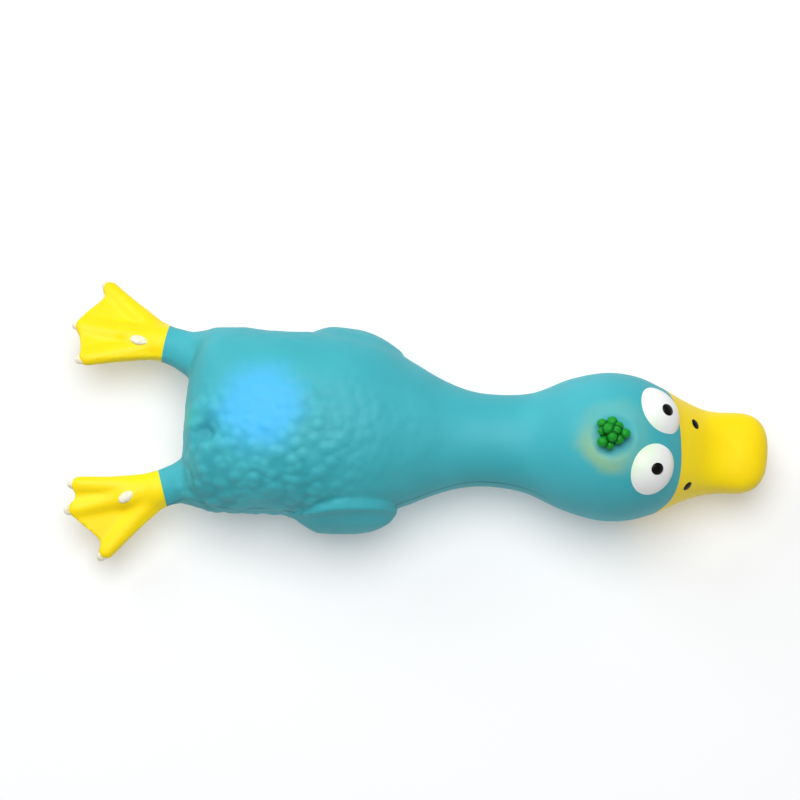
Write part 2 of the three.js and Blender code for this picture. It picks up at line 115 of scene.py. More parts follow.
HEAD_TURN = math.radians(3)
EYE = {"left": (102.8, 10.6), "right": (101.2, 9.7), "radius": 11.5, "proud": 2.3}
PUPIL = {"radius": 2.2, "height": 0.62, "sunk": 0.9}
NOSTRIL = {"left": (115.2, 9.9), "right": (113.8, 10.4), "turn": math.radians(14)}
NOSTRIL |= {"radius": 1.95, "height": 0.5, "sunk": 0.7}
SQUEAKER_X = -28
SEAT = {"radius": 9.3, "top": 13, "flange_radius": 11.8, "flange_depth": 1.4}
SEAT |= {"collar_radius": 13.5, "collar_top": 15}

HIP = {"x": -44, "y": 18, "z": 23, "radius": 12}
HIP |= {"inner_fillet": 3.0, "outer_fillet": 9.0}
ANKLE = {"left": (-68.6, 26.6, 18), "right": (-65.5, -24.6, 18), "radius": 5.9, "flatness": 0.9}
ANKLE |= {"fillet": 3.0}
INSTEP = {"from_x": 3, "to_x": -13, "radius": 4.3, "flatness": 0.85}
TOE = {"root": 4, "root_radius": 4.1, "tip_radius": 2.7, "flatness": 0.84, "fillet": 1.6}
WEB = {"half_thickness": 1.2, "fillet": 1.5, "half_heel": 5.0, "heel_x": 2.0, "short_of_tips": 0.6}
# Each scallop of the web is a curve drawn by two points: the share of the gap between two toes, and how far
# from the ankle.
SCALLOPS = (((0.35, 29.5), (0.65, 29.5)), ((0.36, 32), (0.78, 24.5)))
CLAW = {"length": 3.9, "radius": 1.95, "flatness": 0.8, "sunk": 2.2, "curl": 0.7}
SPLAY = {"left": math.radians(8), "right": math.radians(18)}
FOOT_TILT = math.radians(14)
TOES = {
    "left": {
        "inner": {"angle": math.radians(-25), "length": 30.5},
        "middle": {"angle": math.radians(0), "length": 32},
        "outer": {"angle": math.radians(35), "length": 31.5},
    },
    "right": {
        "inner": {"angle": math.radians(-16), "length": 31},
        "middle": {"angle": math.radians(0), "length": 33},
        "outer": {"angle": math.radians(35), "length": 31.5},
    },
}
SPUR = {"half_length": 3.1, "half_width": 1.8, "half_height": 0.95, "sunk": 0.6}
SPUR_TURN = {"left": 0, "right": math.radians(20)}
SIDES = {"left": 1, "right": -1}

# ---------------------------------------------------------------------------------------------------------
# Numbers: smooth steps, unions and noise
# ---------------------------------------------------------------------------------------------------------


def step(low, high, value):
    t = np.clip((value - low) / (high - low), 0, 1)
    return t * t * (3 - 2 * t)


def union(a, b, radius):
    """The union of two fields, with a fillet of about that radius where they meet."""
    h = np.clip(0.5 + 0.5 * (b - a) / radius, 0, 1)
    return b * (1 - h) + a * h - radius * h * (1 - h)


def hashed(cells, salt):
    """A repeatable random number from 0 to 1 for each row of whole numbers."""
    mixed = (cells @ np.array([127.1, 311.7, 74.7]) + salt * 53.3) % 10007.0
    return np.modf(np.abs(np.sin(mixed) * 43758.5453))[0]


def lumps(points, spacing, salt):
    """1 at the middle of each of a scatter of round lumps, falling to 0 between them."""
    cell = np.floor(points / spacing)
    nearest = np.full(len(points), 9.0)
    for offset in np.ndindex(3, 3, 3):
        corner = cell + np.array(offset) - 1
        jitter = np.stack([hashed(corner, salt + i) for i in range(3)], axis=1)
        away = np.linalg.norm((corner + jitter) * spacing - points, axis=1) / spacing
        nearest = np.minimum(nearest, away)
    return 1 - step(0.08, 0.72, nearest)


def waves(points, length, salt):
    """Slow uneven swells from -1 to 1."""
    cell = np.floor(points / length)
    part = points / length - cell
    part = part * part * (3 - 2 * part)
    total = np.zeros(len(points))
    for corner in np.ndindex(2, 2, 2):
        share = np.prod(np.where(np.array(corner) == 1, part, 1 - part), axis=1)
        total += share * hashed(cell + np.array(corner), salt)
    return 2 * total - 1


# ---------------------------------------------------------------------------------------------------------
# The casting as a field: negative inside, and about the distance to the surface near it
# ---------------------------------------------------------------------------------------------------------


def section_curves():
    """The sections' five sizes, read off smooth curves at fine steps of x."""
    xs = SECTIONS[:, 0]
    last = len(xs) - 1
    fine = np.arange(xs[0], xs[-1] + 0.05, 0.1)
    k = np.clip(np.searchsorted(xs, fine, side="right") - 1, 0, last - 1)
    before, after = np.maximum(np.arange(last + 1) - 1, 0), np.minimum(np.arange(last + 1) + 1, last)
    t = ((fine - xs[k]) / (xs[k + 1] - xs[k]))[:, None]
    span = (xs[k + 1] - xs[k])[:, None]
    ys = SECTIONS[:, 1:]
    slope = (ys[after] - ys[before]) / (xs[after] - xs[before])[:, None]
    curve = (
        ys[k] * (1 + 2 * t) * (1 - t) ** 2
        + slope[k] * span * t * (1 - t) ** 2
        + ys[k + 1] * t * t * (3 - 2 * t)
        - slope[k + 1] * span * t * t * (1 - t)
    )
    return fine, curve


FINE_X, FINE_CURVES = section_curves()


def section(x):
    """Half width, middle height, half height, squareness and sideways shift at x."""
    half_width, bottom, top, squareness, left = (np.interp(x, FINE_X, FINE_CURVES[:, i]) for i in range(5))
    return half_width, (top + bottom) / 2, (top - bottom) / 2, squareness, left


def loft(x, y, z):
    half_width, middle, half_height, power, left = section(x)
    y, up = y - left, z - middle
    round_part = (np.abs(y) / half_width) ** power + (np.abs(up) / half_height) ** power
    reach = np.maximum(round_part, 1e-12) ** (1 / power)
    past = np.zeros_like(reach)
    for end, outward in ((RUMP_END, -1), (BILL_END, 1)):
        beyond = np.maximum((outward * (x - end["x"]) + end["length"]) / end["length"], 0)
        p = end["squareness"]
        reach = np.where(beyond > 0, (reach**p + beyond**p) ** (1 / p), reach)
        past = past + beyond * end["length"]
    length = np.sqrt(past**2 + y**2 + up**2)
    return (1 - 1 / np.maximum(reach, 1e-4)) * length


def wing(x, z, soft=0.0):
    """How far the wing pads stand out of the body's sides: a leaf with a rolled rim, round in front and
    pointed behind. Its rim fades into the body below and behind, and all along the top where soft is 1."""
    widest = WING["widest_x"]
    across = np.where(x > widest, (x - widest) / WING["ahead"], (widest - x) / WING["behind"])
    width = np.where(x > widest, np.sqrt(np.clip(1 - across**2, 0, 1)), 1 - np.clip(across, 0, 1) ** 2.5)
    inside = WING["half_height"] * width - np.abs(z - WING["middle_z"])
    fade = WING["fade"] * np.maximum(step(-6, -20, x) * step(26, 16, z), soft)
    rim = step(-0.7, 0.9 + fade, inside) * step(1.02, 0.97 - 0.12 * soft, across)
    crown = 1 - np.clip((z - 14) / 20, -1, 1) ** 2
    roll = WING["roll"] * np.exp(-(((inside - 1.5) / 1.1) ** 2)) * (1 - fade / WING["fade"])
    tail_off = np.where(x > widest, 1, 0.3 + 0.7 * step(1.0, 0.4, across))
    return rim * tail_off * (WING["rim"] + WING["crown"] * crown * step(1, 10, inside) + roll)


def ellipsoid(x, y, z, centre, radii):
    q = np.sqrt(sum(((v - c) / r) ** 2 for v, c, r in zip((x, y, z), centre, radii)))
    return (q - 1) * min(radii)


def dimple(x, y, centre, radius, depth):
    """A soft round hollow seen from above."""
    return depth * np.exp(-(((x - centre[0]) ** 2 + (y - centre[1]) ** 2) / radius**2))


def bar(p, a, b, ra, rb, flatness=1.0):
    """A round bar between two points, thickening from ra to rb, and squeezed in height."""
    ax, ay, az = (p[i] - a[i] for i in range(3))
    bx, by, bz = (b[i] - a[i] for i in range(3))
    t = np.clip((ax * bx + ay * by + az * bz) / (bx * bx + by * by + bz * bz), 0, 1)
    dz = (az - t * bz) / flatness
    return (np.sqrt((ax - t * bx) ** 2 + (ay - t * by) ** 2 + dz**2) - (ra + (rb - ra) * t)) * flatness


def into_foot(x, y, z, name):
    """Positions in a foot's own frame: the ankle at the origin, toes towards -X."""
    side = SIDES[name]
    x, y, z = (v - middle for v, middle in zip((x, y, z), ANKLE[name]))
    c, s = math.cos(SPLAY[name] * side), math.sin(SPLAY[name] * side)
    x, y = x * c - y * s, x * s + y * c
    c, s = math.cos(FOOT_TILT * side), math.sin(FOOT_TILT * side)
    return x, y * c - z * s, y * s + z * c


def foot_frame(name):
    """The matrix from a foot's own frame to the row's frame, in millimetres."""
    side = SIDES[name]
    place = Matrix.Translation(ANKLE[name])
    return place @ Matrix.Rotation(-SPLAY[name] * side, 4, "Z") @ Matrix.Rotation(-FOOT_TILT * side, 4, "X")


def toe_point(toe, distance, side, z=0.0):
    return (-math.cos(toe["angle"]) * distance, math.sin(toe["angle"]) * side * distance, z)


def inside_outline(x, y, outline):
    """Signed distance to a closed flat outline: negative inside."""
    nearest = np.full(np.shape(x), 1e9)
    sign = np.ones(np.shape(x))
    for (ax, ay), (bx, by) in zip(outline, outline[1:] + outline[:1]):
        ex, ey = bx - ax, by - ay
        px, py = x - ax, y - ay
        t = np.clip((px * ex + py * ey) / (ex * ex + ey * ey), 0, 1)
        nearest = np.minimum(nearest, (px - t * ex) ** 2 + (py - t * ey) ** 2)
        crosses = ((ay > y) != (by > y)) & (px < ex * py / (ey if ey else 1e-9))
        sign = np.where(crosses, -sign, sign)
    return sign * np.sqrt(nearest)


def web_outline(name):
    """The web's edge: straight beside the outer toes, and scalloped between one toe and the next."""
    side, toes = SIDES[name], list(TOES[name].values())
    tips = [toe_point(toe, toe["length"] - WEB["short_of_tips"], side) for toe in toes]
    outline = [(WEB["heel_x"], -WEB["half_heel"] * side), tips[0][:2]]
    for i, pulls in enumerate(SCALLOPS):
        start, turn = toes[i]["angle"], toes[i + 1]["angle"] - toes[i]["angle"]
        points = [tips[i]]
        points += [toe_point({"angle": start + turn * across}, out, side) for across, out in pulls]
        points.append(tips[i + 1])
        for t in np.linspace(0.125, 1, 8):
            shares = ((1 - t) ** 3, 3 * t * (1 - t) ** 2, 3 * t * t * (1 - t), t**3)
            outline.append(tuple(sum(w * p[j] for w, p in zip(shares, points)) for j in (0, 1)))
    return outline + [(WEB["heel_x"], WEB["half_heel"] * side)]


def leg_and_foot(x, y, z, name):
    side = SIDES[name]
    hip = (HIP["x"], HIP["y"] * side, HIP["z"])
    ankle_radius = 0.88 * ANKLE["radius"]  # the fillets round it bring it back to size
    leg = bar((x, y, z), hip, ANKLE[name], HIP["radius"], ankle_radius, ANKLE["flatness"])
    local = into_foot(x, y, z, name)
    heel, middle = (INSTEP["from_x"], 0, 0), (INSTEP["to_x"], 0, 0)
    foot = bar(local, heel, middle, ankle_radius, INSTEP["radius"], INSTEP["flatness"])
    for toe in TOES[name].values():
        root = toe_point(toe, TOE["root"], side)
        tip = toe_point(toe, toe["length"] - TOE["tip_radius"], side)
        digit = bar(local, root, tip, TOE["root_radius"], TOE["tip_radius"], TOE["flatness"])
        foot = union(foot, digit, TOE["fillet"])
    outline = inside_outline(local[0], local[1], web_outline(name))
    web = np.maximum(outline, np.abs(local[2]) - WEB["half_thickness"])
    return union(leg, union(foot, web, WEB["fillet"]), ANKLE["fillet"])


CREST_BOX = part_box("crest")
CREST_X, CREST_Y = ((CREST_BOX[0][i] + CREST_BOX[1][i]) / 2 / MM for i in (0, 1))


def casting(x, y, z, wall=0.0):
    """The whole casting's outer surface, or its inner one where wall is its thickness."""
    left = step(0, 6, y)
    skin = loft(x, y, z) - wing(x, z, left) * (1 - left * (0.2 + 0.35 * step(-2, 12, x)))
    skin = union(skin, ellipsoid(x, y, z, TAIL["centre"], TAIL["radii"]), TAIL["fillet"])
    skin = skin + dimple(x, y, DENT["centre"], DENT["radius"], DENT["depth"]) * step(34, 40, z)
    dish = np.hypot(x - CREST_X - CREST_DISH["ahead"], y - CREST_Y + CREST_DISH["right"])
    skin = skin + CREST_DISH["depth"] * step(38, 44, z) * step(CREST_DISH["rim"], CREST_DISH["floor"], dish)
    above_mouth = z - MOUTH["z"] + (x - MOUTH["x"]) * MOUTH["slope"]
    mouth = step(109, 116, x) * np.exp(-((above_mouth / MOUTH["width"]) ** 2))
    skin = skin + MOUTH["depth"] * mouth
    for name in SIDES:
        near = x < HIP["x"] + 16
        if np.any(near):
            limb = leg_and_foot(x[near], y[near], z[near], name)
            inner, outer = HIP["inner_fillet"], HIP["outer_fillet"]
            fillet = inner + (outer - inner) * step(21, 27, np.abs(y[near]))
            skin[near] = union(skin[near], limb, fillet)
    skin = skin + wall
    from_squeaker = np.hypot(x - SQUEAKER_X, y)
    if wall:
        collar = np.maximum(from_squeaker - SEAT["collar_radius"], z - SEAT["collar_top"])
        skin = np.maximum(skin, -collar)
    else:
        seat = np.maximum(from_squeaker - SEAT["radius"], z - SEAT["top"])
        flange = np.maximum(from_squeaker - SEAT["flange_radius"], z - SEAT["flange_depth"])
        skin = np.maximum(skin, -np.minimum(seat, flange))
    return np.maximum(skin, wall - z)


# ---------------------------------------------------------------------------------------------------------
# Meshes from fields
# ---------------------------------------------------------------------------------------------------------


def meshed(field, low, high, size):
    """The surface where field is 0, as vertices on it and four-sided faces that point outwards."""
    counts = [int((h - l) / size) + 1 for l, h in zip(low, high)]
    axes = [l + size * np.arange(n) for l, n in zip(low, counts)]
    values = np.empty(counts, np.float32)
    slab = 24
    for i in range(0, counts[0], slab):
        x, y, z = np.meshgrid(axes[0][i : i + slab], axes[1], axes[2], indexing="ij")
        values[i : i + slab] = field(x, y, z)
    grid = openvdb.FloatGrid(background=100.0)
    grid.copyFromArray(values, tolerance=-1.0)
    points, quads = grid.convertToQuads(isovalue=0.0)
    points = np.array(points, float) * size + np.array(low)
    for _ in range(3):
        points = settled(field, points)
    return points, np.array(quads)[:, ::-1]


def gradient(field, points, reach=0.05):
    x, y, z = points.T
    return np.stack(
        [
            field(x + reach, y, z) - field(x - reach, y, z),
            field(x, y + reach, z) - field(x, y - reach, z),
            field(x, y, z + reach) - field(x, y, z - reach),
        ],
        axis=1,
    ) / (2 * reach)


def settled(field, points):
    """Points moved towards the surface along the field's slope, half a millimetre at the most."""
    slope = gradient(field, points)
    value = field(*points.T)
    shift = slope * (value / np.maximum((slope**2).sum(axis=1), 0.05))[:, None]
    far = np.linalg.norm(shift, axis=1, keepdims=True)
    return points - shift * np.minimum(1, 0.5 / np.maximum(far, 1e-9))


def vertex_normals(points, quads):
    diagonal_a = points[quads[:, 2]] - points[quads[:, 0]]
    diagonal_b = points[quads[:, 3]] - points[quads[:, 1]]
    face = np.cross(diagonal_a, diagonal_b)
    normal = np.zeros_like(points)
    for corner in range(4):
        np.add.at(normal, quads[:, corner], face)
    return normal / np.maximum(np.linalg.norm(normal, axis=1, keepdims=True), 1e-12)


# ---------------------------------------------------------------------------------------------------------
# Zones of the casting
# ---------------------------------------------------------------------------------------------------------


def feathered(points, normals):
    """The plucked skin's lumps on the body, and slow unevenness all over; returns the points and how deep
    each lies between the lumps, where the teal paint puts painted shade.
    """
    x, y, z = points.T
    share = step(-66, -54, x) * step(0.3, 3, z) * (0.75 * step(16, -18, x) + 0.25 * step(38, 18, x))
    share *= 1 - 0.7 * step(0.4, 2, wing(x, z)) * step(20, 26, np.abs(y))
    share *= 0.25 + 0.75 * step(17, -6, y)
    share *= 0.7 + 0.3 * waves(points, 15.0, 5.0)
    height = 0.7 * lumps(points, 4.1, 3.0) + 0.5 * lumps(points, 6.3, 9.0)
    uneven = 0.15 * waves(points, 12.0, 1.0) * step(0.3, 3, z)
    shift = 0.95 * share * (height - 0.4) + uneven
    return points + normals * shift[:, None], share * (1 - height)


def parting_height(x):
    """Where the mould's two halves met: a little over half way up the body, and half way up the legs."""
    share = step(-52, -64, x)
    return 18 * share + (section(max(x, -59))[1] + 3.5) * (1 - share)


def plane_ahead(x):
    return (x, 0, 0), (1, 0, 0)


def plane_behind(x):
    return (x, 0, 0), (-1, 0, 0)


def bill_plane(outward):
    return BILL_BASE["point"], (outward, outward * BILL_BASE["turn"], -outward * BILL_BASE["lean"])


def ankle_plane(name, outward):
    normal = Vector((-math.cos(SPLAY[name]), math.sin(SPLAY[name]) * SIDES[name], 0)) * outward
    return ANKLE[name], tuple(normal)


def side_plane(name):
    return (0, 0, 0), (0, SIDES[name], 0)


def fill_cut(bm, edges, normal, cap):
    """Closes the wall that a cut laid open, between the outer loop and the inner one."""
    rim = [e for e in edges if isinstance(e, bmesh.types.BMEdge) and e.is_valid and e.is_boundary]
    if not rim:
        return
    filled = bmesh.ops.triangle_fill(bm, edges=rim, normal=normal, use_beauty=False)
    for face in filled["geom"]:
        if isinstance(face, bmesh.types.BMFace):
            face[cap] = 1
            face.normal_update()
            if face.normal.dot(Vector(normal)) > 0:
                face.normal_flip()
    for edge in rim:
        edge.smooth = False


def zone(name, planes, *surfaces):
    """The closed part of the casting that lies on the kept side of every plane, as an object."""
    bm = bmesh.new()
    smooth_normal = bm.verts.layers.float_vector.new("smooth_normal")
    relief = bm.verts.layers.float.new("relief")
    parting = bm.verts.layers.float.new("parting")
    cap = bm.faces.layers.int.new("cap")
    for points, quads, normals, heights in surfaces:
        near = np.ones(len(points), bool)
        for point, normal in planes:
            near &= (points - np.array(point)) @ np.array(normal) > -CUT_MARGIN
        quads = quads[near[quads].any(axis=1)]
        used, quads = np.unique(quads, return_inverse=True)
        verts = []
        for co, no, height in zip(points[used], normals[used], heights[used]):
            vert = bm.verts.new(co)
            vert[smooth_normal] = no
            vert[relief] = height
            # The wings have no parting line, so their height is put out of its reach.
            on_wing = wing(co[0], co[2]) > 0.2
            vert[parting] = co[2] - parting_height(co[0]) + 99 * on_wing
            verts.append(vert)
        for corners in quads.reshape(-1, 4):
            bm.faces.new([verts[i] for i in corners])
    for point, normal in planes:
        everything = bm.verts[:] + bm.edges[:] + bm.faces[:]
        cut = bmesh.ops.bisect_plane(
            bm, geom=everything, dist=1e-4, plane_co=point, plane_no=normal, clear_inner=True
        )
        fill_cut(bm, cut["geom_cut"], normal, cap)
    mesh = bpy.data.meshes.new(name)
    bm.to_mesh(mesh)
    bm.free()
    mesh.transform(Matrix.Scale(MM, 4))
    keep_normals(mesh)
    return placed(name, mesh)


def keep_normals(mesh):
    """Shades the zone with the whole casting's normals, so that no seam shows at its cut edges."""
    count = len(mesh.vertices)
    normals = np.empty(count * 3, np.float32)
    mesh.attributes["smooth_normal"].data.foreach_get("vector", normals)
    loops = np.empty(len(mesh.loops), np.int64)
    mesh.loops.foreach_get("vertex_index", loops)
    caps = np.empty(len(mesh.polygons), np.int32)
    mesh.attributes["cap"].data.foreach_get("value", caps)
    sizes = np.empty(len(mesh.polygons), np.int64)
    mesh.polygons.foreach_get("loop_total", sizes)
    flat = np.empty(len(mesh.polygons) * 3, np.float32)
    mesh.polygons.foreach_get("normal", flat)
    per_loop = normals.reshape(-1, 3)[loops]
    is_cap = np.repeat(caps, sizes) == 1
    per_loop[is_cap] = np.repeat(flat.reshape(-1, 3), sizes, axis=0)[is_cap]
    mesh.polygons.foreach_set("use_smooth", caps == 0)
    mesh.attributes.remove(mesh.attributes["smooth_normal"])
    mesh.attributes.remove(mesh.attributes["cap"])
    mesh.normals_split_custom_set(per_loop.tolist())


def placed(name, mesh):
    """A new object for the mesh, which remembers where each of its points is at rest."""
    obj = bpy.data.objects.new(name, mesh)
    bpy.context.scene.collection.objects.link(obj)
    rest = np.empty(len(mesh.vertices) * 3, np.float32)
    mesh.vertices.foreach_get("co", rest)
    mesh.attributes.new("rest", "FLOAT_VECTOR", "POINT").data.foreach_set("vector", rest)
    return obj


def make_surfaces():
    low, high = (-103.0, -54.0, -1.0), (144.0, 54.0, 57.0)
    points, quads = meshed(casting, low, high, FINE)
    normals = gradient(casting, points)
    normals /= np.maximum(np.linalg.norm(normals, axis=1, keepdims=True), 1e-9)
    points, heights = feathered(points, normals)
    outer = (points, quads, vertex_normals(points, quads), heights)

    def hollow(x, y, z):
        return casting(x, y, z, WALL)

    points, quads = meshed(hollow, low, high, COARSE)
    quads = quads[:, ::-1]
    inner = (points, quads, vertex_normals(points, quads), np.zeros(len(points)))
    return outer, inner


# ---------------------------------------------------------------------------------------------------------
# Small pieces
# ---------------------------------------------------------------------------------------------------------


def surface_at(x, angle):
    """The surface at x and at an angle from straight up towards +Y, and its normal."""

    def at(station, turn):
        half_width, middle, half_height, power, left = section(station)
        s, c = math.sin(turn), math.cos(turn)
        reach = (abs(s / half_width) ** power + abs(c / half_height) ** power) ** (-1 / power)
        return Vector((station, left + reach * s, middle + reach * c))

    small = 0.01
    point = at(x, angle)
    forward, around = at(x + small, angle) - point, at(x, angle + small) - point
    return point, forward.cross(around).normalized()


def angle_at(x, y, turn):
    """The angle from straight up at which the surface at x is y to the left, less a turn of the head."""
    half_width, _, half_height, _, _ = section(x)
    return math.atan2(y, half_height * math.sqrt(1 - (y / half_width) ** 2)) - turn


def from_rings(name, rings):
    """A closed surface through rings of points, whose first and last rings shrink to a point each."""
    count = len(rings[0])
    bm = bmesh.new()
    rows = [[bm.verts.new(p) for p in ring] for ring in rings]
    for row, following in zip(rows, rows[1:]):
        for i in range(count):
            j = (i + 1) % count
            bm.faces.new((row[i], row[j], following[j], following[i]))
    for row, ring in ((rows[0], rings[0]), (rows[-1], rings[-1])):
        middle = bm.verts.new(sum((Vector(p) for p in ring), Vector()) / count)
        for i in range(count):
            bm.faces.new((middle, row[(i + 1) % count], row[i]))
    bmesh.ops.recalc_face_normals(bm, faces=bm.faces[:])
    mesh = bpy.data.meshes.new(name)
    bm.to_mesh(mesh)
    bm.free()
    mesh.transform(Matrix.Scale(MM, 4))
    mesh.polygons.foreach_set("use_smooth", np.ones(len(mesh.polygons), bool))
    return placed(name, mesh)


def turned_form(name, matrix, outline, stretch=(1, 1), sides=48):
    """A form turned round its own Z axis from (radius, height) pairs, stretched, then placed by matrix."""
    rings = []
    for radius, height in outline:
        turn = [2 * math.pi * i / sides for i in range(sides)]
        rings.append([
            matrix @ Vector((radius * stretch[0] * math.cos(a), radius * stretch[1] * math.sin(a), height))
            for a in turn
        ])
    return from_rings(name, rings)


def dome(radius, height, sunk):
    """The outline of a button: a round top, a rolled edge and a flat underside below the surface."""
    turns = np.linspace(0.02, math.pi / 2 - 0.02, 12)
    top = [(radius * math.sin(a), height * math.cos(a) ** 1.25) for a in turns]
    return top + [(radius * 0.98, -sunk * 0.6), (radius * 0.9, -sunk)]


def facing(point, normal, forward):
    """The matrix that puts Z along normal and X as near forward as it goes."""
    z = Vector(normal).normalized()
    x = (Vector(forward) - z * Vector(forward).dot(z)).normalized()
    turn = Matrix((x, z.cross(x), z)).transposed().to_4x4()
    return Matrix.Translation(point) @ turn


def make_eye(name):
    """A flat dome sunk in the head, and a round pupil on it that looks forwards."""
    x, y = EYE[name]
    point, normal = surface_at(x, angle_at(x, y * SIDES[name], HEAD_TURN))
    radius = EYE["radius"]
    centre = point + normal * (EYE["proud"] - radius)
    ball = [(radius * math.sin(a), radius * math.cos(a)) for a in np.linspace(0.01, 1.15, 40)]
    ball.append((ball[-1][0] * 0.96, ball[-1][1] - 0.8))
    eye = turned_form(f"{name}_eye_white", facing(centre, normal, (1, 0, 0)), ball, sides=96)

    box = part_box(f"{name}_pupil")
    look = ((box[0] + box[1]) / 2 / MM - centre).normalized()
    spot = facing(centre + look * (radius - 0.12), look, (1, 0, 0))
    pupil = turned_form(f"{name}_eye_pupil", spot, dome(**PUPIL), stretch=(1.05, 0.95))
    return eye, pupil


def make_nostril(name):
    x, y = NOSTRIL[name]
    point, normal = surface_at(x, angle_at(x, y * SIDES[name], NOSTRIL["turn"]))
    place = facing(point - normal * 0.12, normal, (1, -0.6 * SIDES[name], 0))
    form = dome(NOSTRIL["radius"], NOSTRIL["height"], NOSTRIL["sunk"])
    return turned_form(f"{name}_nostril_spot", place, form, stretch=(1, 0.8))


def make_crest():
    """A tuft of rough round knobs of uneven size: three on top, and the rest crowded round them."""
    low, high = (corner / MM for corner in CREST_BOX)
    centre = np.array([CREST_X, CREST_Y, low[2]])
    knobs = [(-1.3, 0.9, 4.6, 1.8), (1.5, 0.6, 4.2, 1.6), (0.3, -1.6, 4.4, 1.75)]
    sizes = (1.75, 1.5, 1.9, 1.6, 1.45, 1.85, 1.55, 1.8)
    for i, size in enumerate(sizes):
        turn = 2 * math.pi * (i + 0.45 * math.sin(3.1 * i)) / len(sizes)
        out = 3.9 + 0.7 * math.cos(2.3 * i)
        knobs.append((out * math.cos(turn), out * math.sin(turn), 2.7 + 0.8 * math.sin(1.7 * i + 1), size))

    def upright(x, y, z):
        x, y, z = x - centre[0], y - centre[1], z - centre[2]
        c, s = math.cos(HEAD_TURN), math.sin(HEAD_TURN)
        return x, y * c + z * s, z * c - y * s

    def balls(x, y, z):
        return [
            np.sqrt((x - kx) ** 2 + (y - ky) ** 2 + (z - kz) ** 2) - size
            for kx, ky, kz, size in knobs
        ]

    def tuft(x, y, z):
        x, y, z = upright(x, y, z)
        body = np.maximum(np.hypot(x, y) - 3.6, np.abs(z - 0.5) - 2.6)
        for ball in balls(x, y, z):
            body = union(body, ball, 0.35)
        grain = np.sin(x * 5.3 + 1.1 * z) * np.sin(y * 5.9 + 0.7 * x) * np.sin(z * 5.1 + 1.3 * y)
        return body - 0.16 * grain

    points, quads = meshed(tuft, centre - (8, 8, 3.5), centre + (8, 8, 8.5), CREST_FINE)
    nearest, second = np.sort(balls(*upright(*points.T)), axis=0)[:2]
    mesh = bpy.data.meshes.new("crest_tuft")
    mesh.from_pydata((points * MM).tolist(), [], quads.tolist())
    mesh.polygons.foreach_set("use_smooth", np.ones(len(mesh.polygons), bool))
    # relief is 1 on the knobs' tops and 0 in the creases between them, where the green paint puts painted
    # shade
    relief = step(0, 0.9, second - nearest)
    mesh.attributes.new("relief", "FLOAT", "POINT").data.foreach_set("value", relief.astype(np.float32))
    return placed("crest_tuft", mesh)


def make_claw(name, toe_name):
    """A short blunt nail, as wide as the toe where it grows out of it, that curls down a little."""
    side, toe = SIDES[name], TOES[name][toe_name]
    along = Vector(toe_point(toe, 1.0, side))
    across = along.cross(Vector((0, 0, 1)))
    frame_of_foot = foot_frame(name)
    turns = [2 * math.pi * i / 20 for i in range(20)]
    rings = []
    for t in np.linspace(0, 1, 12):
        out = toe["length"] - CLAW["sunk"] + CLAW["length"] * t
        centre = along * out - Vector((0, 0, CLAW["curl"] * t * t))
        reach = CLAW["radius"] * (0.3 + 0.7 * min(1, 4 * t)) * math.sqrt(max(1 - t**2.2, 0.0004))
        ring = []
        for a in turns:
            up = Vector((0, 0, CLAW["flatness"] * reach * math.sin(a)))
            ring.append(frame_of_foot @ (centre + across * reach * math.cos(a) + up))
        rings.append(ring)
    return from_rings(f"{name}_{toe_name}_nail", rings)


def make_spur(name):
    """A flat pointed bead on the heel, narrow towards the ankle."""
    low, high = (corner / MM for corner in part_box(f"{name}_spur"))
    middle = (low + high) / 2
    up = foot_frame(name).to_3x3() @ Vector((0, 0, 1))
    turn = SPUR_TURN[name]
    forward = foot_frame(name).to_3x3() @ Vector((math.cos(turn), math.sin(turn), 0))
    place = facing(middle - up * SPUR["sunk"], up, forward)
    length, width, height = SPUR["half_length"], SPUR["half_width"], SPUR["half_height"]
    turns = [2 * math.pi * i / 24 for i in range(24)]
    rings = []
    for t in np.linspace(0.03, math.pi - 0.03, 18):
        x = -length * math.cos(t)
        girth = math.sin(t) * (1 if x < 0 else 1 - 0.25 * x / length)
        ring = [Vector((x, width * girth * math.cos(a), height * girth * math.sin(a))) for a in turns]
        rings.append([place @ point for point in ring])
    return from_rings(f"{name}_spur_bead", rings)


# ---------------------------------------------------------------------------------------------------------
# Materials
# ---------------------------------------------------------------------------------------------------------


def linear(red, green, blue):
    """A colour given as sRGB from 0 to 255."""
    channels = [v / 255 for v in (red, green, blue)]
    return [v / 12.92 if v <= 0.04045 else ((v + 0.055) / 1.055) ** 2.4 for v in channels] + [1]


